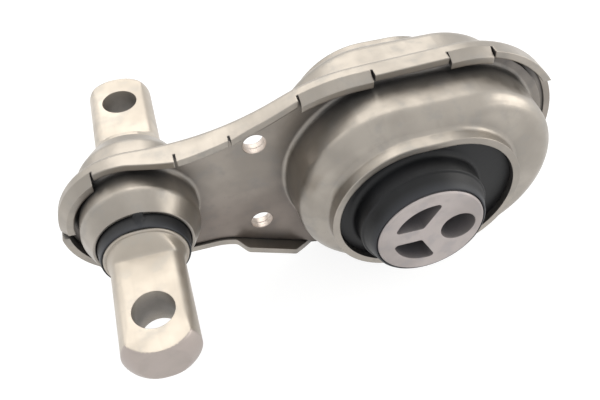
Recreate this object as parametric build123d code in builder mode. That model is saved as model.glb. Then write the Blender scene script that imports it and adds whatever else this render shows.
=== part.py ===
from build123d import *
import os
from math import acos, atan2, degrees, hypot, pi, radians, tan

# Engine mount: two pressed steel shells that join a big rubber bush and a small one.
# The origin is the middle of the bolt bore in the big bush's core, on the plane where the
# shells meet. X runs along the link, Y along the bores, and the pin's flats face up and down Z.

# Spacing along the link
pin_distance = 103.5         # bolt bore to the bar pin's axis
bolt_offset = 9.7            # bolt bore to the core's own axis

# Pressed sheet
sheet = 2.5                  # thickness of both shells
seam_gap = 0.4               # front shell's edge to the flange around it
web_bend = 1.8               # concave bend where a drawn form leaves the web
pilot_radius = 4.2           # two pilot holes through the web
pilot_spacing = 39.4
pilot_distance = 60.3        # bolt bore to the pilot holes

# Big dome and its collar
dome_left = 4.0              # core's axis to the centres of the dome's round ends
dome_right = 19.8
face_width = 3.2             # collar's foot out to the turn between the face and the shoulder
shoulder_width = 3.5         # that turn out to the crest, where the shoulder meets the wall
wall_draft = 0.6             # crest out to the wall's foot at the web
dome_crest = 18.6            # meeting plane to the crest
shoulder_rise = 4.0          # crest to the turn between the shoulder and the face
face_rise = 1.8              # that turn to the collar's foot
dome_round = 6.0             # rounding of both turns
collar_bend = 2.0            # concave bend at the collar's foot
crest_drop = 1.0             # inner side's crest lies this much below the outer side's
face_drop = 1.9              # and its face this much
collar_centre = 3.6          # core's axis to the middle of the collar's oval
collar_straight = 5.4        # half of its straight part
collar_rise = 5.3            # collar's foot to its rim

# Small cup
cup_rubber = 3.8             # rubber between the pin's barrel and the cup's wall
cup_crest = 12.2             # meeting plane to the crest between the cup's wall and its cone
cup_round = 4.0
cup_height = 19.2
opening_gap = 1.8            # barrel to the edge of the cup's opening
opening_rim = 0.9            # width of the flat rim round the opening

# Outline of the rear shell
small_rim = 6.1              # width of the flat rim round the cup, with the flange
small_shift = 0.8            # pin's axis back to the middle of the round small end
small_drop = 1.2             # that middle lies this much below the link's axis
big_rim = 7.0                # dome's wall to the outline, at the round end
big_centre = 21.9            # core's axis to its centre
waist_distance = 30.0        # pin's axis to the corner where the upper side starts to rise
waist_rise = 24.3            # link's axis to that corner
waist_round = 98.0
hip_distance = 28.0          # core's axis back to the corner where it has risen
hip_rise = 41.2
hip_round = 62.0
low_waist_distance = 28.2    # the same two corners of the lower side
low_waist_drop = 27.6
low_waist_round = 20.0
low_hip_distance = 28.3
low_hip_drop = 43.5
low_hip_round = 40.0
front_pull = 2.0             # front shell falls this much short of the flange at the big end

# Flange round the rear shell: how far its lengths reach forward of the meeting plane
flange_bend = 3.0            # outside radius of its bend
base_rise = 0.3              # straight edge past the bend, where no length stands on it
tab_depth = 7.0              # tabs that lean in over the front shell
tab_lean = 24.0              # degrees
pin_tab_depth = 6.2          # leaning tab of the small end
pin_tab_lean = 38.0          # degrees
pin_tab_end = 11.0           # pin's axis back to that tab
pin_tab_drop = 1.0           # it reaches this far below the link's axis
lip_step = 0.8               # space between neighbouring lengths
pin_start_depth = 4.7        # upper length of the small end, where it starts
pin_middle_depth = 5.6       # over the pin
pin_end_depth = 8.8          # where it ends
pin_length_end = 15.5        # pin's axis to that end
neck_end_depth = 7.3         # next length, where it ends
neck_length_end = 34.0       # pin's axis to that end
nick_depth = 5.0             # notches between the lengths are cut back to here
waist_start_depth = 7.6      # the waist's length, where it starts
waist_middle = 41.0          # pin's axis to where it is as deep as the rest of it
waist_depth = 6.5
waist_end_depth = 5.8
waist_length_end = 35.5      # core's axis back to its end
first_tab_end = 10.2         # core's axis back to the end of the first leaning tab
middle_length_end = 16.2     # core's axis to the end of the middle length
middle_depth = 6.2
second_tab_end = 32.4        # core's axis to the end of the second leaning tab
end_length_rise = 24.0       # link's axis to the last length, at the big end
low_start_depth = 6.0        # length along the lower side, where it starts
low_start_run = 30.0         # it keeps that depth over this length
low_depth = 3.5              # then it is this shallow
low_fall = 4.0               # over this length it gets shallow
low_gap = 1.6                # space between it and the leaning tab of the small end
joggle_start = 32.5          # pin's axis to the joggle, where it deepens
joggle_run = 3.5
joggle_round = 2.0
joggle_depth = 7.4
return_start = 38.8          # core's axis back to where it grows shallower again
return_run = 8.0
low_tab_start = 24.0         # core's axis back to the first leaning tab of the lower side

# Aluminium core
core_radius = 18.85
core_half_length = 41.5
core_chamfer = 0.5
bolt_radius = 6.25
pocket_radius = 13.5         # outer arc of both pockets, about the core's axis
rib_half = 2.9               # half thickness of the rib between the pockets
rib_slant = 60.0             # degrees from the link to the slanted side of a pocket
rib_offset = 4.1             # core's axis to that side
pocket_corner = 1.3

# Rubber of the big bush
face_inset = 2.3             # collar's rim to the rubber's face in it
hub_foot_wall = 3.75         # rubber on the core at the hub's foot
collar_wall = 4.0            # rubber between the hub's foot and the collar
hub_step = 0.7               # ledge round the hub
hub_step_depth = 35.4
hub_tip_wall = 1.05          # rubber left on the core at the hub's tip
hub_tip_inset = 0.6          # hub's tip to the end of the core
hub_foot_round = 2.0
belly_lip = 2.4              # belly inside the dome, out past the collar
belly_clearance = 0.8        # belly to the depth of the dome's crest
belly_round = 1.6

# Bar pin
barrel_radius = 14.2
barrel_half_length = 24.6
barrel_chamfer = 0.5
barrel_shoulder = 0.5        # width of the barrel's narrow end face
bar_radius = 12.2
bar_half_length = 65.2
bar_taper_run = 5.4          # end face to where the bar has its own radius
bar_taper_round = 3.0
end_chamfer = 4.2
end_round = 1.0              # rounding of both edges of that chamfer
flat_half = 7.5              # half thickness across the flats
flat_start = 29.3            # meeting plane to the foot of the ramp
flat_ramp = 54.0             # degrees that the ramp climbs from the flat to the barrel
flat_round = 3.0
cross_radius = 6.65          # cross holes for the bolts
cross_spacing = 101.0

# Rubber of the small bush
lip_clearance = 0.3          # rubber to the edge of the cup's opening
shoulder_fall = 2.0          # the ring's shoulder slopes down to the cup's wall by this much
nose_wall = 0.7              # rubber left on the barrel at the nose
nose_inset = 0.6             # nose to the end of the barrel

hub_foot_radius = core_radius + hub_foot_wall
hub_tip_radius = core_radius + hub_tip_wall
collar_radius = hub_foot_radius + collar_wall
shoulder_radius = collar_radius + sheet + face_width
crest_radius = shoulder_radius + shoulder_width
dome_radius = crest_radius + wall_draft
big_radius = dome_radius + big_rim
dome_shoulder = dome_crest + shoulder_rise
collar_foot = dome_shoulder + face_rise
collar_height = collar_foot + collar_rise
face_depth = collar_height - face_inset
cup_radius = barrel_radius + cup_rubber + sheet
cup_opening = barrel_radius + opening_gap
small_radius = cup_radius + small_rim
core_x = -bolt_offset
pin_x = -pin_distance
big_x = core_x + big_centre
small_x = pin_x - small_shift
dome_span = (core_x - dome_left, core_x + dome_right)
collar_span = (core_x + collar_centre - collar_straight, core_x + collar_centre + collar_straight)
waist = (pin_x + waist_distance, waist_rise)
hip = (core_x - hip_distance, hip_rise)
low_waist = (pin_x + low_waist_distance, -low_waist_drop)
low_hip = (core_x - low_hip_distance, -low_hip_drop)
core_axis = Axis((core_x, 0, 0), (0, 1, 0))
pin_axis = Axis((pin_x, 0, 0), (0, 1, 0))
base_depth = flange_bend + base_rise - sheet
lean_start = sheet + seam_gap
beyond = 2 * big_radius      # windows reach this far past the link's axis
link_end = pin_distance + 2 * small_radius
past = 1.0                   # cutters run this much past what they cut
near = 0.1                   # faces are picked within this distance of their place
cup_span = (pin_x, pin_x)
belly_depth = dome_crest - belly_clearance


def oval(span, radius):
    """Oval with round ends whose centres lie on the link's axis, or a circle for an empty span."""
    with Locations(((span[0] + span[1]) / 2, 0)):
        if span[1] > span[0]:
            SlotCenterToCenter(span[1] - span[0], 2 * radius)
        else:
            Circle(radius)


def end_angles(hip_run, hip_half, waist_run, waist_half):
    """Where one side of the outline meets the big and the small end, in degrees from the link.

    The sizes give its two corners from the middles of these ends.
    """
    hip_angle = pi - atan2(hip_half, hip_run) - acos(big_radius / hypot(hip_run, hip_half))
    waist_angle = atan2(waist_half, waist_run) + acos(small_radius / hypot(waist_run, waist_half))
    return degrees(hip_angle), degrees(waist_angle)


def shell_outline(big_end, inset=0.0):
    """Outline of a shell: a round big end, a hip and a waist on each side, and a round small end."""
    hip_angle, waist_angle = end_angles(
        big_end - hip[0], hip_rise, waist[0] - small_x, waist_rise + small_drop
    )
    low_hip_angle, low_waist_angle = end_angles(
        big_end - low_hip[0], low_hip_drop, low_waist[0] - small_x, low_waist_drop - small_drop
    )
    with BuildSketch() as outline:
        with BuildLine():
            big_arc = CenterArc((big_end, 0), big_radius, -low_hip_angle, low_hip_angle + hip_angle)
            small_turn = 360 - waist_angle - low_waist_angle
            small_arc = CenterArc((small_x, -small_drop), small_radius, waist_angle, small_turn)
            FilletPolyline(big_arc @ 1, hip, waist, small_arc @ 0, radius=[hip_round, waist_round])
            low_rounds = [low_hip_round, low_waist_round]
            FilletPolyline(big_arc @ 0, low_hip, low_waist, small_arc @ 1, radius=low_rounds)
        make_face()
        if inset:
            offset(amount=-inset, kind=Kind.INTERSECTION, mode=Mode.REPLACE)
    return outline.sketch


def flat_faces(part, depth):
    """Flat faces at this depth in front of the meeting plane, the smallest first."""
    level = part.faces().filter_by(Axis.Y).filter_by_position(Axis.Y, -depth - near, -depth + near)
    return level.sort_by(SortBy.AREA)


def edges_at(part, depth):
    """Edges that lie at this depth in front of the meeting plane."""
    return part.edges().filter_by_position(Axis.Y, -depth - near, -depth + near)


def drawn_form(sections, rounding):
    """Form of a pressing through sections from its foot to its top, rounded at those between.

    Each section is a depth in front of the meeting plane, a span and a radius.
    """
    with BuildPart() as form:
        for low, high in zip(sections, sections[1:]):
            for depth, span, radius in (low, high):
                with BuildSketch(Plane.XZ.offset(depth)):
                    oval(span, radius)
            loft(ruled=True)
        for section in sections[1:-1]:
            fillet(edges_at(form, section[0]), rounding)
    return form.part


def drawn_volume(stock, start, lift):
    """Everything behind one face of a pressing that is drawn forward.

    The outer face has lift equal to the sheet, and the inner face has none.
    """
    skin = sheet - lift
    crest_lower = crest_drop * skin / sheet
    face_lower = face_drop * skin / sheet
    neck_depth = collar_foot - face_lower
    neck_radius = collar_radius + lift
    dome_sections = [
        (lift, dome_span, dome_radius - skin),
        (dome_crest - crest_lower, dome_span, crest_radius - skin),
        (dome_shoulder - face_lower, dome_span, shoulder_radius - skin),
        (neck_depth, collar_span, neck_radius),
    ]
    cup_sections = [
        (lift, cup_span, cup_radius - skin),
        (cup_crest - crest_lower, cup_span, cup_radius - skin),
        (cup_height - crest_lower, cup_span, cup_opening + opening_rim - skin),
    ]
    dome = drawn_form(dome_sections, dome_round - skin)
    cup = drawn_form(cup_sections, cup_round - skin)
    with BuildPart() as volume:
        with BuildSketch(Plane.XZ.offset(-start)):
            add(stock)
        extrude(amount=start + lift)
        add(dome)
        add(cup)
        with BuildSketch(Plane.XZ.offset(neck_depth)):
            oval(collar_span, neck_radius)
        extrude(amount=collar_height - neck_depth)
        fillet(edges_at(volume, neck_depth), collar_bend + skin)
        web = flat_faces(volume, lift)[-1]
        fillet([edge for wire in web.inner_wires() for edge in wire.edges()], web_bend + skin)
    return volume.part


def drawn_shell(outline):
    """Shell drawn forward: flat web, big dome with its collar, and small cup."""
    with BuildSketch() as stock:
        Rectangle(4 * beyond, 2 * beyond)
    outer = drawn_volume(outline, 0, sheet)
    inner = drawn_volume(stock.sketch, past, 0)
    with BuildPart() as shell:
        add(outer)
        add(inner, mode=Mode.SUBTRACT)
        with BuildSketch(Plane.XZ):
            with Locations((pin_x, 0)):
                Circle(cup_opening)
            with Locations((-pilot_distance, -pilot_spacing / 2), (-pilot_distance, pilot_spacing / 2)):
                Circle(pilot_radius)
        extrude(amount=cup_height + past, mode=Mode.SUBTRACT)
    return shell.part


def window(across, height, mode=Mode.ADD):
    """Rectangle from its two ranges."""
    with Locations(((across[0] + across[1]) / 2, (height[0] + height[1]) / 2)):
        Rectangle(across[1] - across[0], height[1] - height[0], mode=mode)


# Outlines and drawn forms of both shells
rear_outline = shell_outline(big_x)
rear_inside = shell_outline(big_x, inset=sheet)
rear_form = drawn_shell(rear_outline)
front_form = drawn_shell(shell_outline(big_x - front_pull, inset=sheet + seam_gap))

# Front shell, drawn forward, inside the rear shell's flange
with BuildPart() as front_shell:
    add(front_form)
front_shell.part.label = "front_shell"

# Lengths of the flange: the line of each one's front edge, as X and depth
pin_start = pin_x - pin_tab_end
pin_end = pin_x + pin_length_end
neck_end = pin_x + neck_length_end
waist_end = core_x - waist_length_end
first_tab = (waist_end + lip_step, core_x - first_tab_end)
middle_run = (first_tab[1] + lip_step, core_x + middle_length_end)
second_tab = (middle_run[1] + lip_step, core_x + second_tab_end)
end_start = second_tab[1] + lip_step
upper_edge = [
    (pin_start, pin_start_depth),
    (pin_x, pin_middle_depth),
    (pin_end, pin_end_depth),
    (pin_end, nick_depth),
    (pin_end + lip_step, nick_depth),
    (pin_end + lip_step, pin_end_depth),
    (neck_end, neck_end_depth),
    (neck_end, nick_depth),
    (neck_end + lip_step, nick_depth),
    (neck_end + lip_step, waist_start_depth),
    (pin_x + waist_middle, waist_depth),
    (waist_end, waist_end_depth),
]
middle_edge = [(middle_run[0], middle_depth), (middle_run[1], middle_depth)]
end_edge = [(end_start, middle_depth), (beyond, middle_depth)]
low_start_end = small_x - small_radius + low_start_run
low_edge = [
    (-link_end, low_start_depth),
    (low_start_end, low_start_depth),
    (low_start_end + low_fall, low_depth),
    (pin_x + joggle_start, low_depth),
    (pin_x + joggle_start + joggle_run, joggle_depth),
    (core_x - return_start, joggle_depth),
    (core_x - return_start + return_run, base_depth),
]
low_side = (-beyond, 0)
low_first_tab = (core_x - low_tab_start, first_tab[1])
big_tabs = [
    (first_tab, (0, beyond)),
    (second_tab, (0, beyond)),
    (low_first_tab, low_side),
    (second_tab, low_side),
]
pin_tab = [((-link_end, pin_start - lip_step), (-pin_tab_drop, beyond))]


def flange_length(edge, height, rounding=0.0):
    """Length of the flange within a range of heights, with its front edge along the given line."""
    with BuildPart() as length:
        with BuildSketch(Plane.XZ):
            add(rear_outline)
            add(rear_inside, mode=Mode.SUBTRACT)
            window((edge[0][0], edge[-1][0]), height, Mode.INTERSECT)
        extrude(amount=max(depth for _, depth in edge))
        with BuildSketch(Plane.XY.offset(height[0])):
            with BuildLine():
                places = [(place, -depth) for place, depth in edge]
                rounds = [0, *[rounding for _ in edge[1:-1]], 0]
                line = FilletPolyline(
                    (edge[0][0], 0), *places, (edge[-1][0], 0), radius=rounds, close=False
                )
                Line(line @ 1, line @ 0)
            make_face()
        extrude(amount=height[1] - height[0], mode=Mode.INTERSECT)
    return length.part


def leaning(windows, depth, lean):
    """Tabs of the flange that lean in over the front shell."""
    with BuildPart() as tabs:
        for edge, mode in ((rear_outline, Mode.ADD), (rear_inside, Mode.SUBTRACT)):
            with BuildSketch(Plane.XZ):
                add(edge)
            extrude(amount=lean_start, mode=mode)
            with BuildSketch(Plane.XZ.offset(lean_start)):
                add(edge)
            extrude(amount=depth - lean_start, taper=lean, mode=mode)
        with BuildSketch(Plane.XZ):
            for across, height in windows:
                window(across, height)
        extrude(amount=depth + past, mode=Mode.INTERSECT)
    return tabs.part


lengths = [
    flange_length(upper_edge, (0, beyond)),
    flange_length(middle_edge, (0, beyond)),
    flange_length(middle_edge, low_side),
    flange_length(end_edge, (end_length_rise, beyond)),
    flange_length(end_edge, (-beyond, -end_length_rise)),
    flange_length(low_edge, (-beyond, -pin_tab_drop - low_gap), joggle_round),
    leaning(big_tabs, tab_depth, tab_lean),
    leaning(pin_tab, pin_tab_depth, pin_tab_lean),
]

# Rear shell, drawn the other way, with its flange bent forward round the front shell
with BuildPart() as rear_shell:
    add(rear_form)
    mirror(about=Plane.XZ, mode=Mode.REPLACE)
    with BuildSketch(Plane.XZ):
        add(rear_outline)
        add(rear_inside, mode=Mode.SUBTRACT)
    extrude(amount=base_depth)
    with BuildSketch(Plane.XZ):
        add(rear_outline)
        add(rear_inside, mode=Mode.SUBTRACT)
        window((pin_start - lip_step, end_start), (0, beyond), Mode.INTERSECT)
    extrude(amount=lean_start)
    add(lengths)
    rear_web = flat_faces(rear_shell, -sheet)[-1]
    fillet(rear_web.outer_wire().edges(), flange_bend)
rear_shell.part.label = "rear_shell"

# Aluminium core, with the bolt bore and two pockets beside its ribs
with BuildPart() as big_bush_core:
    with BuildSketch(Plane.XZ.offset(-core_half_length)):
        with Locations((core_x, 0)):
            Circle(core_radius)
    extrude(amount=2 * core_half_length)
    chamfer(big_bush_core.edges().filter_by(GeomType.CIRCLE), core_chamfer)
    with BuildSketch(Plane.XZ.offset(-core_half_length)) as pockets:
        with Locations((core_x, 0)):
            Circle(pocket_radius)
        with Locations((core_x, rib_half)):
            Rectangle(
                2 * pocket_radius,
                2 * pocket_radius,
                align=(Align.CENTER, Align.MAX),
                mode=Mode.SUBTRACT,
            )
        with Locations(Location((core_x, 0), rib_slant)):
            with Locations((0, rib_offset)):
                Rectangle(
                    2 * pocket_radius,
                    2 * pocket_radius,
                    align=(Align.CENTER, Align.MAX),
                    mode=Mode.SUBTRACT,
                )
        fillet(pockets.vertices(), pocket_corner)
        mirror(about=Plane.XZ)
    extrude(amount=2 * core_half_length, mode=Mode.SUBTRACT)
    with BuildSketch(Plane.XZ.offset(-core_half_length)):
        Circle(bolt_radius)
    extrude(amount=2 * core_half_length, mode=Mode.SUBTRACT)
big_bush_core.part.label = "big_bush_core"

# Rubber of the big bush: an oval plug in both collars, a belly in the dome and a hub on the core
with BuildPart() as big_bush_rubber:
    with BuildSketch(Plane.XZ):
        oval(collar_span, collar_radius)
    extrude(amount=face_depth)
    with BuildSketch(Plane.XY):
        with BuildLine():
            Polyline(
                (core_x, 0),
                (core_x + hub_foot_radius, 0),
                (core_x + hub_foot_radius, hub_step - hub_step_depth),
                (core_x + hub_foot_radius - hub_step, -hub_step_depth),
                (core_x + hub_tip_radius, hub_tip_inset - core_half_length),
                (core_x, hub_tip_inset - core_half_length),
                close=True,
            )
        make_face()
    revolve(axis=core_axis)
    rubber_face = flat_faces(big_bush_rubber, face_depth)[-1]
    fillet(rubber_face.inner_wires()[0].edges(), hub_foot_round)
    with BuildSketch(Plane.XZ):
        oval(collar_span, collar_radius + belly_lip)
    extrude(amount=belly_depth)
    fillet(flat_faces(big_bush_rubber, belly_depth)[-1].outer_wire().edges(), belly_round)
    mirror(about=Plane.XZ)
    with BuildSketch(Plane.XZ.offset(-core_half_length)):
        with Locations((core_x, 0)):
            Circle(core_radius)
    extrude(amount=2 * core_half_length, mode=Mode.SUBTRACT)
big_bush_rubber.part.label = "big_bush_rubber"

# Bar pin: a round barrel in the small bush, and flats with a cross hole at both ends
ramp_rise = barrel_radius + past - flat_half
ramp_run = ramp_rise / tan(radians(flat_ramp))
with BuildPart() as bar_pin:
    with BuildSketch(Plane.XY):
        with BuildLine():
            neck_edge = barrel_radius - barrel_chamfer - barrel_shoulder
            half_profile = FilletPolyline(
                (pin_x, 0),
                (pin_x + barrel_radius, 0),
                (pin_x + barrel_radius, barrel_half_length - barrel_chamfer),
                (pin_x + barrel_radius - barrel_chamfer, barrel_half_length),
                (pin_x + neck_edge, barrel_half_length),
                (pin_x + bar_radius, barrel_half_length + bar_taper_run),
                (pin_x + bar_radius, bar_half_length - end_chamfer),
                (pin_x + bar_radius - end_chamfer, bar_half_length),
                (pin_x, bar_half_length),
                radius=[0, 0, 0, 0, bar_taper_round, end_round, end_round],
                close=False,
            )
            Line(half_profile @ 1, half_profile @ 0)
        make_face()
    revolve(axis=pin_axis)
    with BuildSketch(Plane.YZ.offset(-pin_distance - 2 * barrel_radius)):
        with BuildLine():
            flat_profile = FilletPolyline(
                (bar_half_length + past, flat_half),
                (flat_start, flat_half),
                (flat_start - ramp_run, flat_half + ramp_rise),
                (bar_half_length + past, flat_half + ramp_rise),
                radius=[flat_round, 0],
                close=False,
            )
            Line(flat_profile @ 1, flat_profile @ 0)
        make_face()
        mirror(about=Plane.XZ)
    extrude(amount=4 * barrel_radius, mode=Mode.SUBTRACT)
    mirror(about=Plane.XZ)
    with BuildSketch(Plane.XY.offset(-barrel_radius)):
        with Locations((pin_x, cross_spacing / 2), (pin_x, -cross_spacing / 2)):
            Circle(cross_radius)
    extrude(amount=2 * barrel_radius, mode=Mode.SUBTRACT)
bar_pin.part.label = "bar_pin"

# Rubber of the small bush: a ring in the cups, with a nose through each opening
with BuildPart() as small_bush_rubber:
    cup_inside = cup_radius - sheet
    nose_radius = barrel_radius + nose_wall
    neck_radius = cup_opening - lip_clearance
    with BuildSketch(Plane.XY):
        with BuildLine():
            Polyline(
                (pin_x + barrel_radius, 0),
                (pin_x + cup_inside, 0),
                (pin_x + cup_inside, cup_crest - shoulder_fall),
                (pin_x + neck_radius, cup_crest),
                (pin_x + neck_radius, cup_height),
                (pin_x + nose_radius, barrel_half_length - nose_inset),
                (pin_x + barrel_radius, barrel_half_length - nose_inset),
                close=True,
            )
        make_face()
        mirror(about=Plane.XZ)
    revolve(axis=pin_axis)
small_bush_rubber.part.label = "small_bush_rubber"

os.makedirs("parts", exist_ok=True)
export_step(front_shell.part, "parts/front_shell.step")
export_step(rear_shell.part, "parts/rear_shell.step")
export_step(big_bush_core.part, "parts/big_bush_core.step")
export_step(big_bush_rubber.part, "parts/big_bush_rubber.step")
export_step(bar_pin.part, "parts/bar_pin.step")
export_step(small_bush_rubber.part, "parts/small_bush_rubber.step")
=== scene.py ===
from math import atan2, cos, radians, sin, tan

import bpy
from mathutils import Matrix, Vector


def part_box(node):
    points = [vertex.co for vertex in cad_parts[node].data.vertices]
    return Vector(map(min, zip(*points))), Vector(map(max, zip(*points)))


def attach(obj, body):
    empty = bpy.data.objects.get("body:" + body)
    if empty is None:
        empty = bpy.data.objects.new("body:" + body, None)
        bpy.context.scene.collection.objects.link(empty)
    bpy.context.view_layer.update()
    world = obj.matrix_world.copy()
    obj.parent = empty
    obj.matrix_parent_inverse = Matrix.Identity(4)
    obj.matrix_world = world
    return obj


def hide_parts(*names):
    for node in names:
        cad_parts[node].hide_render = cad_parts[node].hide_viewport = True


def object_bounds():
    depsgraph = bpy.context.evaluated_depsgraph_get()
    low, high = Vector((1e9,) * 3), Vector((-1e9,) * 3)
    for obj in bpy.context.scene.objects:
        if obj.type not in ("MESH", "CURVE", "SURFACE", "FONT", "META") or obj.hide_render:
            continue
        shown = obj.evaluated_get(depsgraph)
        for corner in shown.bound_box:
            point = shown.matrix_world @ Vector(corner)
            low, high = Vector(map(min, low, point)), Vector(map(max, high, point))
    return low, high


bl_info = {
    "name": "Engine Mount",
    "version": (1, 0, 0),
    "blender": (4, 5, 0),
    "location": "View3D > Sidebar > Mount",
    "description": "Dresses a torque-link engine mount of pressed steel, aluminium and rubber",
    "category": "Object",
}

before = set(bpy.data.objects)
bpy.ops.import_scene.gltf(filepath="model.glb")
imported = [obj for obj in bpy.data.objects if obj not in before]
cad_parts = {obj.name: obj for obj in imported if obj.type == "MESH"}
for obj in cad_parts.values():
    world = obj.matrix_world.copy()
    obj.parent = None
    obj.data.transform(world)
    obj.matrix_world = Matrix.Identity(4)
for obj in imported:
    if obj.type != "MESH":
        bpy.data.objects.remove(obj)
cad_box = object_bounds()
lowest = cad_box[0][2]


def middle(node):
    """X of the middle of a CAD node."""
    low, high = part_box(node)
    return (low[0] + high[0]) / 2


core_x = middle("big_bush_core")
pin_x = middle("bar_pin")
near = 0.00001  # two places closer than this are the same
tenth = 0.0001  # a tenth of a millimetre, for small roundings

# sockets of a Mix node that mixes colours
mix_factor, mix_first, mix_second = 0, 6, 7
mix_result = 2


class Value:
    """One socket in shader maths: an expression on values adds its Math nodes."""

    def __init__(self, tree, socket):
        self.tree = tree
        self.socket = socket

    def math(self, operation, other, swapped=False):
        """Adds a Math node for this value and another, or for the other and this one."""
        node = self.tree.nodes.new("ShaderNodeMath")
        node.operation = operation
        first, second = (other, self) if swapped else (self, other)
        feed(self.tree, first, node.inputs[0])
        feed(self.tree, second, node.inputs[1])
        return Value(self.tree, node.outputs[0])

    def __add__(self, other):
        return self.math("ADD", other)

    def __radd__(self, other):
        return self.math("ADD", other, swapped=True)

    def __sub__(self, other):
        return self.math("SUBTRACT", other)

    def __rsub__(self, other):
        return self.math("SUBTRACT", other, swapped=True)

    def __mul__(self, other):
        return self.math("MULTIPLY", other)

    def __rmul__(self, other):
        return self.math("MULTIPLY", other, swapped=True)


def feed(tree, source, socket):
    """Sets a socket to a number or colour, or links a value to it."""
    if isinstance(source, Value):
        tree.links.new(source.socket, socket)
    else:
        socket.default_value = source


class Finish:
    """A new material with its Principled shader and short ways to add nodes."""

    def __init__(self, name):
        self.material = bpy.data.materials.new(name)
        self.material.use_nodes = True
        self.tree = self.material.node_tree
        self.shader = self.tree.nodes["Principled BSDF"]

    def node(self, kind, settings=None, numbered=None, output=0, **named):
        """Adds a node: its settings first, then its sockets by number or by name."""
        node = self.tree.nodes.new(kind)
        for name, value in (settings or {}).items():
            setattr(node, name, value)
        for number, value in (numbered or {}).items():
            feed(self.tree, value, node.inputs[number])
        for name, value in named.items():
            feed(self.tree, value, node.inputs[name.replace("_", " ")])
        return Value(self.tree, node.outputs[output])

    def place(self):
        """The place on the piece, in metres."""
        return self.node("ShaderNodeTexCoord", output="Object")

    def noise(self, scale, detail=2.0, stretch=None):
        """Soft noise from 0 to 1 by place, drawn out along an axis where stretch says so."""
        vector = self.place()
        if stretch:
            vector = self.node("ShaderNodeMapping", Vector=vector, Scale=stretch)
        return self.node("ShaderNodeTexNoise", Vector=vector, Scale=scale, Detail=detail)

    def ramp(self, value, low, high):
        """0 below low and 1 above high."""
        return self.node(
            "ShaderNodeMapRange", {"interpolation_type": "SMOOTHSTEP"},
            Value=value, From_Min=low, From_Max=high,
        )

    def blend(self, factor, first, second, kind="MIX"):
        """Mixes two colours."""
        return self.node(
            "ShaderNodeMix", {"data_type": "RGBA", "blend_type": kind},
            {mix_factor: factor, mix_first: first, mix_second: second}, mix_result,
        )

    def bump(self, height, distance, strength, normal=None):
        """A bumped normal, on top of another one where that is given."""
        inputs = {"Height": height, "Distance": distance, "Strength": strength}
        if normal:
            inputs["Normal"] = normal
        return self.node("ShaderNodeBump", **inputs)

    def dot(self, first, second):
        """Dot product of two directions, 1 where they agree."""
        return self.node(
            "ShaderNodeVectorMath", {"operation": "DOT_PRODUCT"}, {0: first, 1: second}, "Value"
        )

    def along(self, axis, vector=None):
        """The part of a vector, or else of the place, along X, Y or Z."""
        return self.node("ShaderNodeSeparateXYZ", output=axis, Vector=vector or self.place())

    def set(self, **inputs):
        """Sets or links the shader's own sockets."""
        for name, value in inputs.items():
            feed(self.tree, value, self.shader.inputs[name.replace("_", " ")])


def rgb(colour):
    """A colour with full alpha."""
    return (colour[0], colour[1], colour[2], 1.0)


def tinted(colour, factors):
    """A colour times a factor for each of red, green and blue, none past 1."""
    return rgb([min(1.0, part * factor) for part, factor in zip(colour, factors)])


def pressed_sheet(finish, surface, normal):
    """Paints shade on the flat web, darkest along its lower edge, and a painted highlight on the
    walls of its holes.
    """
    metal = bpy.context.scene.mount_metal
    web_face, dome_foot = 0.0028, 0.0034  # from the meeting plane
    dullest_height, clearer_height = -0.018, 0.01
    least_web_shade = 0.35
    inside, outside = 0.0003, 0.0006  # past the wall of a hole
    radius = metal.hole_radius
    reach = metal.hole_spacing / 2 + radius
    across = finish.along("X") + metal.hole_distance
    depth = finish.along("Y")
    height = finish.along("Z")
    facing = finish.along("Y", normal)
    thin = 1 - finish.ramp(depth * depth, web_face ** 2, dome_foot ** 2)
    low = 1 - finish.ramp(height, dullest_height, clearer_height)
    flat = finish.ramp(facing * facing, 0.85, 0.95)
    # Painted shade: the flat web is darkened everywhere, more towards its lower edge.
    web = thin * flat * (least_web_shade + low * (1 - least_web_shade))
    # Painted highlight: the walls of the pilot holes are made paler.
    inner = 1 - finish.ramp(height * height, (reach + inside) ** 2, (reach + outside) ** 2)
    column = 1 - finish.ramp(across * across, (radius + inside) ** 2, (radius + outside) ** 2)
    sideways = 1 - finish.ramp(facing * facing, 0.1, 0.3)
    walls = thin * inner * column * sideways
    # Painted shade multiplied onto the web.
    web_shaded = finish.blend(web, surface, rgb(metal.web_painted_shade), "MULTIPLY")
    return finish.blend(walls, web_shaded, rgb(metal.hole_wall_highlight))


def cut_ends(finish, surface, normal):
    """Bare metal on the rounded ends of the pin, but not on its flats."""
    metal = bpy.context.scene.mount_metal
    pin = bpy.context.scene.mount_pin
    start = pin.bar_end - pin.end_round
    fade = 0.0006
    depth = finish.along("Y")
    level = finish.along("Z", normal)
    past = finish.ramp(depth * depth, (start - fade) ** 2, start ** 2)
    off_flats = 1 - finish.ramp(level * level, 0.9, 0.97)
    patchy = 1 - finish.noise(190.0, detail=4.0) * 0.5
    return finish.blend(past * off_flats * patchy, surface, rgb(metal.pin_end))


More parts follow.
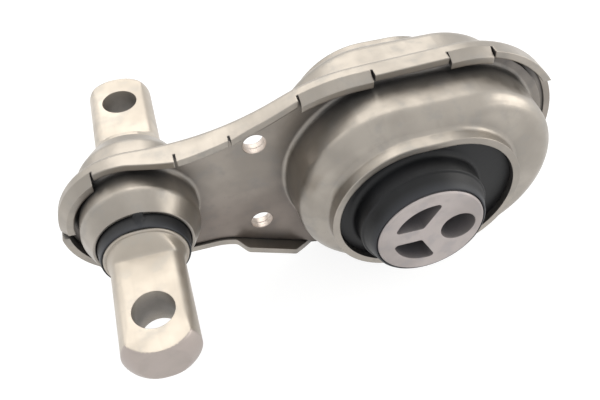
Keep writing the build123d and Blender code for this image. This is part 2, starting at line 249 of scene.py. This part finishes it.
def satin_metal(name, colour, metallic, roughness, grain, edge, waviness, touch=None):
    """Plated metal: cloudy colour, drawing streaks, fine grain, painted shade in corners and paler
    edges.

    grain is the scale of the fine noise, edge the width of a worn edge and waviness how much the
    clouds dent the surface. touch is a function that changes the colour in places.
    """
    finish = Finish(name)
    clouds = finish.noise(45.0, detail=3.0)
    blotches = finish.noise(190.0, detail=4.0)
    streaks = finish.noise(260.0, detail=2.0, stretch=(1.0, 0.12, 1.0))
    fine = finish.noise(grain, detail=4.0)
    sharp = finish.node("ShaderNodeNewGeometry", output="Normal")
    soft = finish.node("ShaderNodeBevel", {"samples": 8}, Radius=edge)
    rim = finish.ramp(1 - finish.dot(sharp, soft), 0.02, 0.3)
    # Ambient occlusion below darkens corners, creases and the gaps between parts: painted shade,
    # cool in tint.
    corner_shade_reach = 0.014
    open_air = finish.node(
        "ShaderNodeAmbientOcclusion", {"samples": 12}, output="AO", Distance=corner_shade_reach
    )
    corner_shade = 1 - finish.ramp(open_air, 0.2, 0.9)
    shade = tinted(colour, (0.82, 0.82, 0.82))
    cool = tinted(colour, (0.8, 0.84, 0.89))
    corner_shade_colour = tinted(colour, (0.17, 0.195, 0.25))
    pale = tinted(colour, (1.3, 1.3, 1.3))
    cloudy = finish.blend(finish.ramp(clouds, 0.38, 0.64), rgb(colour), shade)
    mottled = finish.blend(finish.ramp(blotches, 0.5, 0.7) * 0.5, cloudy, cool)
    streaked = finish.blend(finish.ramp(streaks, 0.52, 0.7) * 0.35, mottled, shade)
    # Painted shade: a darker, cooler colour where the occlusion finds a corner.
    corner_shaded = finish.blend(corner_shade * 0.75, streaked, corner_shade_colour)
    surface = finish.blend(rim * (1 - corner_shade) * 0.6, corner_shaded, pale)
    if touch:
        surface = touch(finish, surface, sharp)
    relief = fine * 0.4 + blotches * 0.9 + streaks * 0.3 + clouds * waviness
    finish.set(
        Base_Color=surface,
        Metallic=metallic,
        Roughness=roughness + (clouds - 0.5) * 0.2 + (blotches - 0.5) * 0.3 + corner_shade * 0.15,
        Normal=finish.bump(relief, distance=0.00007, strength=0.6, normal=soft),
    )
    return finish.material


def black_rubber(name, colour, roughness, end):
    """Moulded rubber with a faint powdery bloom at random and a painted sheen, strongest where the
    rubber comes near its end.
    """
    finish = Finish(name)
    clouds = finish.noise(60.0, detail=4.0)
    sheen_start, sheen_full = end - 0.004, end + 0.001
    depth = finish.along("Y")
    # Painted sheen: the rubber is made paler towards its end along Y.
    ends = finish.ramp(depth * depth, sheen_start ** 2, sheen_full ** 2)
    dust_and_sheen = finish.ramp(clouds, 0.35, 0.75) * 0.15 + ends * 0.85
    dust_and_sheen_colour = tinted(colour, (10.0, 10.0, 10.0))
    relief = finish.noise(900.0) * 0.7 + clouds * 0.6
    finish.set(
        Base_Color=finish.blend(dust_and_sheen, rgb(colour), dust_and_sheen_colour),
        Specular_IOR_Level=0.35,
        Roughness=roughness + (clouds - 0.5) * 0.2,
        Normal=finish.bump(relief, distance=0.00006, strength=0.6),
    )
    return finish.material


def dress(node, material):
    """Gives a CAD node a material in its own slots."""
    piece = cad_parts[node]
    if not piece.material_slots:
        piece.data.materials.append(material)
    for slot in piece.material_slots:
        slot.material = material


class MountMetalSettings(bpy.types.PropertyGroup):
    """Colours and gloss of the metal pieces, and the places that differ on them."""

    plating: bpy.props.FloatVectorProperty(
        name="Plating", description="Colour of the pressed shells",
        default=(0.41, 0.374, 0.33), subtype="COLOR",
    )
    # Painted shade for the flat web.
    web_painted_shade: bpy.props.FloatVectorProperty(
        name="Web", description="Colour that dulls the flat web between the bushes",
        default=(0.62, 0.585, 0.585), subtype="COLOR",
    )
    # Painted highlight for the walls of the pilot holes.
    hole_wall_highlight: bpy.props.FloatVectorProperty(
        name="Hole walls", description="Colour of the walls of the pilot holes",
        default=(0.66, 0.59, 0.54), subtype="COLOR",
    )
    hole_distance: bpy.props.FloatProperty(
        name="Hole distance", description="Bolt bore to the pilot holes in the web",
        default=0.0603, unit="LENGTH",
    )
    hole_spacing: bpy.props.FloatProperty(
        name="Hole spacing", description="Middle to middle of the pilot holes",
        default=0.0394, unit="LENGTH",
    )
    hole_radius: bpy.props.FloatProperty(
        name="Hole radius", description="Radius of the pilot holes",
        default=0.0042, unit="LENGTH",
    )
    pin: bpy.props.FloatVectorProperty(
        name="Pin", description="Colour of the bar pin",
        default=(0.57, 0.512, 0.438), subtype="COLOR",
    )
    pin_end: bpy.props.FloatVectorProperty(
        name="Pin end", description="Colour of the pin's cut ends",
        default=(0.44, 0.38, 0.36), subtype="COLOR",
    )
    core: bpy.props.FloatVectorProperty(
        name="Core", description="Colour of the aluminium core",
        default=(0.56, 0.505, 0.485), subtype="COLOR",
    )
    roughness: bpy.props.FloatProperty(
        name="Roughness", description="How dull the plating is",
        default=0.37, min=0.0, max=1.0, subtype="FACTOR",
    )


class MountBushSettings(bpy.types.PropertyGroup):
    """Sizes of the moulded rubber in both bushes."""

    sides: bpy.props.IntProperty(
        name="Sides", description="Corners round a bush", default=144, min=48
    )
    plug_radius: bpy.props.FloatProperty(
        name="Plug", description="Radius of the round ends of the big plug",
        default=0.0266, unit="LENGTH",
    )
    plug_left: bpy.props.FloatProperty(
        name="Plug left", description="Core's axis to the middle of the plug's left end",
        default=0.0018, unit="LENGTH",
    )
    plug_right: bpy.props.FloatProperty(
        name="Plug right", description="Core's axis to the middle of its right end",
        default=0.009, unit="LENGTH",
    )
    plug_depth: bpy.props.FloatProperty(
        name="Plug depth", description="Meeting plane to the plug's face",
        default=0.0274, unit="LENGTH",
    )
    hub_foot: bpy.props.FloatProperty(
        name="Hub foot", description="Radius of the hub below its ledge",
        default=0.0226, unit="LENGTH",
    )
    hub_ledge: bpy.props.FloatProperty(
        name="Hub ledge", description="Meeting plane to the ledge round the hub",
        default=0.0352, unit="LENGTH",
    )
    hub_tip: bpy.props.FloatProperty(
        name="Hub tip", description="Radius of the hub at its tip",
        default=0.0199, unit="LENGTH",
    )
    hub_length: bpy.props.FloatProperty(
        name="Hub length", description="Meeting plane to the hub's tip",
        default=0.0409, unit="LENGTH",
    )
    hub_bore: bpy.props.FloatProperty(
        name="Hub bore", description="Radius of the bore that the core fills",
        default=0.01885, unit="LENGTH",
    )
    foot_round: bpy.props.FloatProperty(
        name="Foot rounding", description="Concave rounding at the hub's foot",
        default=0.002, unit="LENGTH",
    )
    ring_bore: bpy.props.FloatProperty(
        name="Ring bore", description="Radius of the bore that the pin's barrel fills",
        default=0.0142, unit="LENGTH",
    )
    ring_radius: bpy.props.FloatProperty(
        name="Ring", description="Radius of the small ring inside the cup",
        default=0.018, unit="LENGTH",
    )
    ring_shoulder: bpy.props.FloatProperty(
        name="Ring shoulder", description="Meeting plane to the ring's shoulder",
        default=0.0102, unit="LENGTH",
    )
    neck_radius: bpy.props.FloatProperty(
        name="Neck", description="Radius of the ring's neck in the cup's opening",
        default=0.0157, unit="LENGTH",
    )
    neck_depth: bpy.props.FloatProperty(
        name="Neck depth", description="Meeting plane to the start of the nose",
        default=0.0192, unit="LENGTH",
    )
    nose_radius: bpy.props.FloatProperty(
        name="Nose", description="Radius of the nose at its end",
        default=0.0149, unit="LENGTH",
    )
    nose_depth: bpy.props.FloatProperty(
        name="Nose depth", description="Meeting plane to the nose's end",
        default=0.024, unit="LENGTH",
    )
    rear_nose: bpy.props.FloatProperty(
        name="Rear nose", description="Length of the rear nose as a share of the front one",
        default=0.12, min=0.01, max=1.0, subtype="FACTOR",
    )
    mark_turn: bpy.props.FloatProperty(
        name="Mould mark", description="Turn of the mould mark from the top",
        default=radians(3.0), subtype="ANGLE",
    )
    mark_width: bpy.props.FloatProperty(
        name="Mark width", description="Half of its width at the cup's rim, as a turn",
        default=radians(6.0), subtype="ANGLE",
    )
    mark_height: bpy.props.FloatProperty(
        name="Mark height", description="How far it stands out at the cup's rim",
        default=0.0012, unit="LENGTH",
    )


class MountPinSettings(bpy.types.PropertyGroup):
    """Sizes of the bar pin."""

    sides: bpy.props.IntProperty(
        name="Sides", description="Corners round the bar", default=128, min=32
    )
    barrel_radius: bpy.props.FloatProperty(
        name="Barrel", description="Radius of the barrel in the small bush",
        default=0.0142, unit="LENGTH",
    )
    barrel_end: bpy.props.FloatProperty(
        name="Barrel end", description="Meeting plane to the barrel's end",
        default=0.0246, unit="LENGTH",
    )
    bar_radius: bpy.props.FloatProperty(
        name="Bar", description="Radius of the bar past the barrel",
        default=0.0122, unit="LENGTH",
    )
    bar_start: bpy.props.FloatProperty(
        name="Bar start", description="Meeting plane to where the bar has this radius",
        default=0.030, unit="LENGTH",
    )
    bar_end: bpy.props.FloatProperty(
        name="Bar end", description="Meeting plane to the bar's end",
        default=0.0652, unit="LENGTH",
    )
    end_round: bpy.props.FloatProperty(
        name="End rounding", description="Width of the rounded edge of its end",
        default=0.0047, unit="LENGTH",
    )
    flat_half: bpy.props.FloatProperty(
        name="Flats", description="Half thickness across the flats",
        default=0.0075, unit="LENGTH",
    )
    flat_start: bpy.props.FloatProperty(
        name="Flat start", description="Meeting plane to the foot of the ramp",
        default=0.0293, unit="LENGTH",
    )
    ramp: bpy.props.FloatProperty(
        name="Ramp", description="Climb of the ramp from the flat to the barrel",
        default=radians(54), subtype="ANGLE",
    )
    worn: bpy.props.FloatProperty(
        name="Rounding", description="How softly the flats run into the round bar",
        default=0.0022, unit="LENGTH",
    )
    hole_radius: bpy.props.FloatProperty(
        name="Hole", description="Radius of the cross holes",
        default=0.00665, unit="LENGTH",
    )
    hole_place: bpy.props.FloatProperty(
        name="Hole place", description="Meeting plane to the middle of a cross hole",
        default=0.0505, unit="LENGTH",
    )


class MountRubberSettings(bpy.types.PropertyGroup):
    """Colour and gloss of the rubber."""

    colour: bpy.props.FloatVectorProperty(
        name="Rubber", description="Colour of the rubber",
        default=(0.0045, 0.0048, 0.0055), subtype="COLOR",
    )
    roughness: bpy.props.FloatProperty(
        name="Roughness", description="How dull the rubber is",
        default=0.45, min=0.0, max=1.0, subtype="FACTOR",
    )


class MountStageSettings(bpy.types.PropertyGroup):
    """Camera, floor and lamps."""

    camera_place: bpy.props.FloatVectorProperty(
        name="Camera", description="Where the camera stands",
        default=(-0.08838, -0.17513, 0.18209), subtype="TRANSLATION", unit="LENGTH",
    )
    camera_turn: bpy.props.FloatVectorProperty(
        name="Camera turn", description="How the camera is turned",
        default=(radians(42.706), radians(1.762), radians(-15.535)), subtype="EULER",
    )
    lens: bpy.props.FloatProperty(
        name="Lens", description="Focal length in millimetres", default=41.823, unit="CAMERA"
    )
    shift: bpy.props.FloatVectorProperty(
        name="Shift", description="Shift of the picture", default=(0.00667, -0.00801), size=2
    )
    floor_span: bpy.props.FloatProperty(
        name="Floor", description="Width of the floor", default=6.0, unit="LENGTH"
    )
    floor_glow: bpy.props.FloatProperty(
        name="Floor glow", description="Light that the floor shows the camera by itself",
        default=0.86, min=0.0,
    )
    floor_shade: bpy.props.FloatProperty(
        name="Floor shade", description="How pale the floor is",
        default=0.25, min=0.0, max=1.0, subtype="FACTOR",
    )
    lamp_colour: bpy.props.FloatVectorProperty(
        name="Lamps", description="Colour of the lamps",
        default=(1.0, 0.965, 0.905), subtype="COLOR",
    )
    key_power: bpy.props.FloatProperty(
        name="Key", description="Power of the lamp behind and above",
        default=4.4, min=0.0, unit="POWER",
    )
    left_power: bpy.props.FloatProperty(
        name="Left", description="Power of the lamp behind on the left",
        default=1.1, min=0.0, unit="POWER",
    )
    right_power: bpy.props.FloatProperty(
        name="Right", description="Power of the lamp on the right",
        default=3.3, min=0.0, unit="POWER",
    )
    sky: bpy.props.FloatProperty(
        name="Sky", description="Strength of the plain light all round", default=0.85, min=0.0
    )


class MOUNT_OT_dress_metal(bpy.types.Operator):
    """Give the shells and the core their metal finishes"""

    bl_idname = "mount.dress_metal"
    bl_label = "Dress metal"

    def execute(self, context):
        metal = context.scene.mount_metal
        plating = satin_metal(
            "zinc_plating", metal.plating, metallic=0.85, roughness=metal.roughness,
            grain=900.0, edge=0.0006, waviness=9.0, touch=pressed_sheet,
        )
        cast = satin_metal(
            "cast_core", metal.core, metallic=0.5, roughness=0.5,
            grain=2200.0, edge=0.0004, waviness=0.5,
        )
        dress("front_shell", plating)
        dress("rear_shell", plating)
        dress("big_bush_core", cast)
        return {"FINISHED"}


def start_ring(name, centre, radius, sides):
    """Starts a piece from a ring round an axis along Y, all selected in edit mode."""
    bpy.ops.object.select_all(action="DESELECT")
    bpy.ops.mesh.primitive_circle_add(
        vertices=sides, radius=radius, location=(centre, 0, 0), rotation=(radians(90), 0, 0)
    )
    piece = bpy.context.object
    piece.name = name
    bpy.ops.object.transform_apply(location=True, rotation=True, scale=True)
    bpy.ops.object.mode_set(mode="EDIT")
    bpy.ops.mesh.select_mode(type="VERT")
    bpy.ops.mesh.select_all(action="SELECT")
    return piece


def pull(depth):
    """Extrudes what is selected along Y by a depth."""
    bpy.ops.mesh.extrude_region_move(TRANSFORM_OT_translate={"value": (0, depth, 0)})


def widen(growth, centre):
    """Scales what is selected away from an axis along Y."""
    bpy.ops.transform.resize(value=(growth, 1, growth), center_override=(centre, 0, 0))


def draw_out(profile, centre):
    """Extrudes the selected ring through the radii and depths of a profile."""
    for (radius, depth), (next_radius, next_depth) in zip(profile, profile[1:]):
        pull(next_depth - depth)
        widen(next_radius / radius, centre)


def choose(piece, test):
    """Selects the points of a piece whose place passes a test, in edit mode."""
    bpy.ops.mesh.select_all(action="DESELECT")
    bpy.ops.object.mode_set(mode="OBJECT")
    for point in piece.data.vertices:
        point.select = test(point.co)
    bpy.ops.object.mode_set(mode="EDIT")


def mirror_back(piece):
    """Leaves edit mode, mirrors the front half to the rear and turns all faces outwards."""
    bpy.ops.object.mode_set(mode="OBJECT")
    bpy.ops.object.modifier_add(type="MIRROR")
    halves = piece.modifiers[-1]
    halves.use_axis = (False, True, False)
    halves.merge_threshold = near
    bpy.ops.object.modifier_apply(modifier=halves.name)
    bpy.ops.object.mode_set(mode="EDIT")
    bpy.ops.mesh.select_all(action="SELECT")
    bpy.ops.mesh.normals_make_consistent(inside=False)
    bpy.ops.object.mode_set(mode="OBJECT")


def finish_rubber(piece, node, material):
    """Softens a rubber piece's edges and puts it in the place of its CAD node."""
    bpy.ops.object.modifier_add(type="BEVEL")
    softening = piece.modifiers[-1]
    softening.width = 0.00015
    softening.segments = 2
    softening.angle_limit = radians(35)
    bpy.ops.object.modifier_apply(modifier=softening.name)
    bpy.ops.object.shade_smooth_by_angle(angle=radians(40))
    piece.data.materials.clear()
    piece.data.materials.append(material)
    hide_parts(node)
    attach(piece, "root")


class MOUNT_OT_big_rubber(bpy.types.Operator):
    """Mould the rubber of the big bush: an oval plug with a hub round the core"""

    bl_idname = "mount.big_rubber"
    bl_label = "Big rubber"

    def execute(self, context):
        bush = context.scene.mount_bush
        rubber = context.scene.mount_rubber
        piece = start_ring("big_rubber", core_x, bush.hub_bore, bush.sides)
        draw_out(self.profile(bush), core_x)
        rim = bush.plug_radius - 4 * tenth
        for side, shift in ((-1, bush.plug_left), (1, bush.plug_right)):
            choose(
                piece,
                lambda place: abs(place.y + bush.plug_depth) < near
                and (place.x - core_x) * side > near
                and (place.x - core_x) ** 2 + place.z ** 2 > rim ** 2,
            )
            bpy.ops.transform.translate(value=(side * shift, 0, 0))
        choose(
            piece,
            lambda place: abs(place.y + bush.plug_depth) < near and self.on_rim(place, bush, rim),
        )
        pull(3 * tenth)
        widen(
            bush.plug_radius / (bush.plug_radius - 3 * tenth),
            core_x + (bush.plug_right - bush.plug_left) / 2,
        )
        pull(bush.plug_depth - 3 * tenth)
        mirror_back(piece)
        finish_rubber(
            piece, "big_bush_rubber",
            black_rubber("bush_rubber", rubber.colour, rubber.roughness, bush.hub_length),
        )
        return {"FINISHED"}

    def profile(self, bush):
        """Radii and depths from the bore over the hub's tip and ledge to the plug's rim."""
        tip = -bush.hub_length
        ledge = -bush.hub_ledge
        foot = bush.hub_foot
        face = -bush.plug_depth
        curve = [
            (foot + bush.foot_round * (1 - cos(turn)), face - bush.foot_round * (1 - sin(turn)))
            for turn in (radians(degrees) for degrees in (0, 22.5, 45, 67.5, 90))
        ]
        taper = (foot - 9 * tenth - bush.hub_tip) / (ledge - tip)
        return [
            (bush.hub_bore, 0),
            (bush.hub_bore, tip + 8 * tenth),
            (bush.hub_bore + 4 * tenth, tip + tenth),
            (bush.hub_bore + 6 * tenth, tip),
            (bush.hub_tip - 3 * tenth, tip),
            (bush.hub_tip, tip + 3 * tenth),
            (bush.hub_tip + taper * 25 * tenth, tip + 25 * tenth),
            (foot - 9 * tenth, ledge - 2 * tenth),
            (foot - 7 * tenth, ledge),
            (foot - 2 * tenth, ledge + tenth),
            (foot, ledge + 5 * tenth),
            *curve,
            (bush.plug_radius - 3 * tenth, face),
        ]

    def on_rim(self, place, bush, rim):
        """Whether a point is as far out as the rim of the plug's face."""
        inside = min(max(place.x, core_x - bush.plug_left), core_x + bush.plug_right)
        return (place.x - inside) ** 2 + place.z ** 2 > rim ** 2


class MOUNT_OT_small_rubber(bpy.types.Operator):
    """Mould the rubber of the small bush: a ring with a nose through both cups and a mould mark"""

    bl_idname = "mount.small_rubber"
    bl_label = "Small rubber"

    def execute(self, context):
        bush = context.scene.mount_bush
        rubber = context.scene.mount_rubber
        rows = 6
        half_tip = radians(0.6)
        nose_start = -bush.nose_depth + 2 * tenth
        nose_run = bush.nose_depth - 2 * tenth - bush.neck_depth
        nose_rows = [
            (
                bush.nose_radius + (bush.neck_radius - bush.nose_radius) * row / rows,
                nose_start + nose_run * row / rows,
            )
            for row in range(rows + 1)
        ]
        profile = [
            (bush.ring_bore, 0),
            (bush.ring_bore, -bush.nose_depth + 3 * tenth),
            (bush.ring_bore + 3 * tenth, -bush.nose_depth),
            (bush.nose_radius - 2 * tenth, -bush.nose_depth),
            *nose_rows,
            (bush.neck_radius, -bush.ring_shoulder - 20 * tenth),
            (bush.ring_radius, -bush.ring_shoulder),
            (bush.ring_radius, 0),
        ]
        piece = start_ring("small_rubber", pin_x, bush.ring_bore, bush.sides)
        draw_out(profile, pin_x)
        for row, (radius, depth) in enumerate(nose_rows):
            reach = bush.mark_width * row / rows + half_tip
            choose(
                piece,
                lambda place: abs(place.y - depth) < 2 * near
                and (place.x - pin_x) ** 2 + place.z ** 2 > (radius - tenth) ** 2
                and abs(atan2(place.x - pin_x, place.z) - bush.mark_turn) < reach,
            )
            widen(1 + bush.mark_height * row / rows / radius, pin_x)
        mirror_back(piece)
        bpy.ops.object.mode_set(mode="EDIT")
        choose(piece, lambda place: place.y > bush.neck_depth + near)
        bpy.ops.transform.resize(
            value=(1, bush.rear_nose, 1), center_override=(pin_x, bush.neck_depth, 0)
        )
        bpy.ops.object.mode_set(mode="OBJECT")
        finish_rubber(
            piece, "small_bush_rubber",
            black_rubber("ring_rubber", rubber.colour, rubber.roughness, bush.nose_depth),
        )
        return {"FINISHED"}


def rounded_least(first, second, reach):
    """The lesser of two sizes, with a rounding where they are about equal."""
    blend = max(reach - abs(first - second), 0.0) / reach
    return min(first, second) - blend * blend * reach / 4


class MOUNT_OT_bar_pin(bpy.types.Operator):
    """Forge the bar pin: a round barrel, then soft-edged flats and a cross hole at both ends"""

    bl_idname = "mount.bar_pin"
    bl_label = "Bar pin"

    step = 0.0005  # between rows that lie close, and for the barrel's edge
    rows = 12

    def execute(self, context):
        metal = context.scene.mount_metal
        pin = context.scene.mount_pin
        piece = start_ring("pin_bar", pin_x, pin.barrel_radius, pin.sides)
        draw_out(self.profile(pin), pin_x)
        bpy.ops.mesh.edge_face_add()
        bpy.ops.mesh.inset(thickness=2 * self.step)
        bpy.ops.object.mode_set(mode="OBJECT")
        self.press_flats(piece, pin)
        mirror_back(piece)
        for side in (-1, 1):
            self.drill(context, piece, pin, side * pin.hole_place)
        piece.select_set(True)
        bpy.ops.object.shade_smooth_by_angle(angle=radians(32))
        piece.data.materials.clear()
        piece.data.materials.append(
            satin_metal(
                "pin_plating", metal.pin, metallic=0.7, roughness=0.4,
                grain=700.0, edge=0.0004, waviness=4.0, touch=cut_ends,
            )
        )
        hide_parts("bar_pin")
        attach(piece, "root")
        return {"FINISHED"}

    def profile(self, pin):
        """Radii and depths along the barrel, the cone, the bar and its rounded end."""
        step = self.step
        edge = pin.end_round
        close_rows_end = 0.034
        cone_curve = end_curve = 1.5
        mouth = pin.barrel_radius - 2 * step
        eased = step * 0.3
        profile = [
            (pin.barrel_radius, 0),
            (pin.barrel_radius, -pin.barrel_end + step),
            (pin.barrel_radius - eased, -pin.barrel_end + eased),
            (pin.barrel_radius - step, -pin.barrel_end),
            (mouth, -pin.barrel_end),
        ]
        for row in range(1, self.rows + 1):
            share = row / self.rows
            fall = 1 - (1 - share) ** cone_curve
            profile.append((
                mouth - (mouth - pin.bar_radius) * fall,
                -pin.barrel_end - (pin.bar_start - pin.barrel_end) * share,
            ))
        depth = pin.bar_start
        last = pin.bar_end - edge - step
        while depth + step < last:
            depth += step if depth < close_rows_end else 4 * step
            profile.append((pin.bar_radius, -min(depth, last)))
        for row in range(self.rows + 1):
            turn = radians(90 * row / self.rows)
            profile.append((
                pin.bar_radius - edge + edge * cos(turn) ** end_curve,
                -pin.bar_end + edge - edge * sin(turn) ** end_curve,
            ))
        profile.append((pin.bar_radius - edge - step, -pin.bar_end))
        return profile

    def press_flats(self, piece, pin):
        """Flattens the bar above and below, with a rounding that fades out near its end."""
        rounding_start = pin.bar_end - pin.end_round
        fade_run = 3 * pin.worn
        least_fade = 0.1
        for point in piece.data.vertices:
            height = pin.flat_half + max(0.0, pin.flat_start + point.co.y) * tan(pin.ramp)
            fade = min(1.0, max(least_fade, (rounding_start + point.co.y) / fade_run))
            least = rounded_least(abs(point.co.z), height, pin.worn * fade)
            point.co.z = least if point.co.z > 0 else -least

    def drill(self, context, piece, pin, depth):
        """Cuts a cross hole through the flats."""
        bpy.ops.object.select_all(action="DESELECT")
        bpy.ops.mesh.primitive_cylinder_add(
            vertices=96, radius=pin.hole_radius, depth=4 * pin.bar_radius,
            location=(pin_x, depth, 0),
        )
        cutter = context.object
        context.view_layer.objects.active = piece
        bpy.ops.object.modifier_add(type="BOOLEAN")
        hole = piece.modifiers[-1]
        hole.operation = "DIFFERENCE"
        hole.object = cutter
        bpy.ops.object.modifier_apply(modifier=hole.name)
        bpy.data.objects.remove(cutter)


def lamp(name, place, span, power, colour):
    """Adds a square soft lamp that faces the mount."""
    target = Vector((core_x / 2 + pin_x / 2, 0, 0))
    turn = (target - Vector(place)).to_track_quat("-Z", "Y").to_euler()
    bpy.ops.object.light_add(type="AREA", location=place, rotation=turn)
    light = bpy.context.object
    light.name = name
    light.data.size = span
    light.data.energy = power
    light.data.color = colour


def seen_rays(tree):
    """1 for rays that show a surface to the camera, straight, mirrored or through glass."""
    path = tree.nodes.new("ShaderNodeLightPath")
    camera_ray, glossy_ray, glass_ray = (
        Value(tree, path.outputs[name])
        for name in ("Is Camera Ray", "Is Glossy Ray", "Is Transmission Ray")
    )
    return camera_ray.math("MAXIMUM", glossy_ray).math("MAXIMUM", glass_ray)


class MOUNT_OT_set_stage(bpy.types.Operator):
    """Set the floor, the lamps and the camera"""

    bl_idname = "mount.set_stage"
    bl_label = "Set stage"

    def execute(self, context):
        stage = context.scene.mount_stage
        white = (1.0, 1.0, 1.0, 1.0)

        bpy.ops.object.select_all(action="DESELECT")
        bpy.ops.mesh.primitive_plane_add(size=stage.floor_span, location=(0, 0, lowest))
        floor = context.object
        floor.name = "floor"
        bpy.ops.object.transform_apply(location=True, rotation=True, scale=True)
        finish = Finish("floor_white")
        finish.set(
            Base_Color=rgb([stage.floor_shade] * 3),
            Roughness=0.9,
            Emission_Color=white,
            Emission_Strength=seen_rays(finish.tree) * stage.floor_glow,
        )
        floor.data.materials.append(finish.material)

        world = bpy.data.worlds.new("plain_sky")
        context.scene.world = world
        world.use_nodes = True
        tree = world.node_tree
        sky = tree.nodes["Background"]
        sky.inputs["Color"].default_value = white
        strength = seen_rays(tree) * (1 - stage.sky) + stage.sky
        feed(tree, strength, sky.inputs["Strength"])

        warm = stage.lamp_colour
        lamp("key_lamp", (0.02, 0.74, 0.76), 0.9, stage.key_power, warm)
        lamp("left_lamp", (-0.7, 0.6, 0.5), 0.65, stage.left_power, warm)
        lamp("right_lamp", (0.95, -0.1, 0.45), 0.65, stage.right_power, warm)

        bpy.ops.object.camera_add(location=stage.camera_place, rotation=stage.camera_turn)
        camera = context.object
        camera.name = "camera"
        camera.data.lens = stage.lens
        camera.data.sensor_width = 36.0
        camera.data.shift_x, camera.data.shift_y = stage.shift
        camera.data.clip_start = 0.01
        context.scene.camera = camera
        context.scene.view_settings.view_transform = "Standard"
        return {"FINISHED"}


class MOUNT_PT_panel(bpy.types.Panel):
    """Settings and buttons for each step of the mount's looks"""

    bl_idname = "MOUNT_PT_panel"
    bl_label = "Engine Mount"
    bl_space_type = "VIEW_3D"
    bl_region_type = "UI"
    bl_category = "Mount"

    def draw(self, context):
        for place in settings:
            group = getattr(context.scene, place)
            for name in group.__annotations__:
                self.layout.prop(group, name)
        for operator in operators:
            self.layout.operator(operator.bl_idname)


settings = {
    "mount_bush": MountBushSettings,
    "mount_pin": MountPinSettings,
    "mount_rubber": MountRubberSettings,
    "mount_metal": MountMetalSettings,
    "mount_stage": MountStageSettings,
}
operators = (
    MOUNT_OT_big_rubber,
    MOUNT_OT_small_rubber,
    MOUNT_OT_bar_pin,
    MOUNT_OT_dress_metal,
    MOUNT_OT_set_stage,
)
classes = (*settings.values(), *operators, MOUNT_PT_panel)


def register():
    for cls in classes:
        bpy.utils.register_class(cls)
    for place, group in settings.items():
        setattr(bpy.types.Scene, place, bpy.props.PointerProperty(type=group))


def unregister():
    for place in reversed(settings):
        delattr(bpy.types.Scene, place)
    for cls in reversed(classes):
        bpy.utils.unregister_class(cls)


def main():
    register()
    bpy.ops.mount.big_rubber()
    bpy.ops.mount.small_rubber()
    bpy.ops.mount.bar_pin()
    bpy.ops.mount.dress_metal()
    bpy.ops.mount.set_stage()


if __name__ == "__main__":
    main()
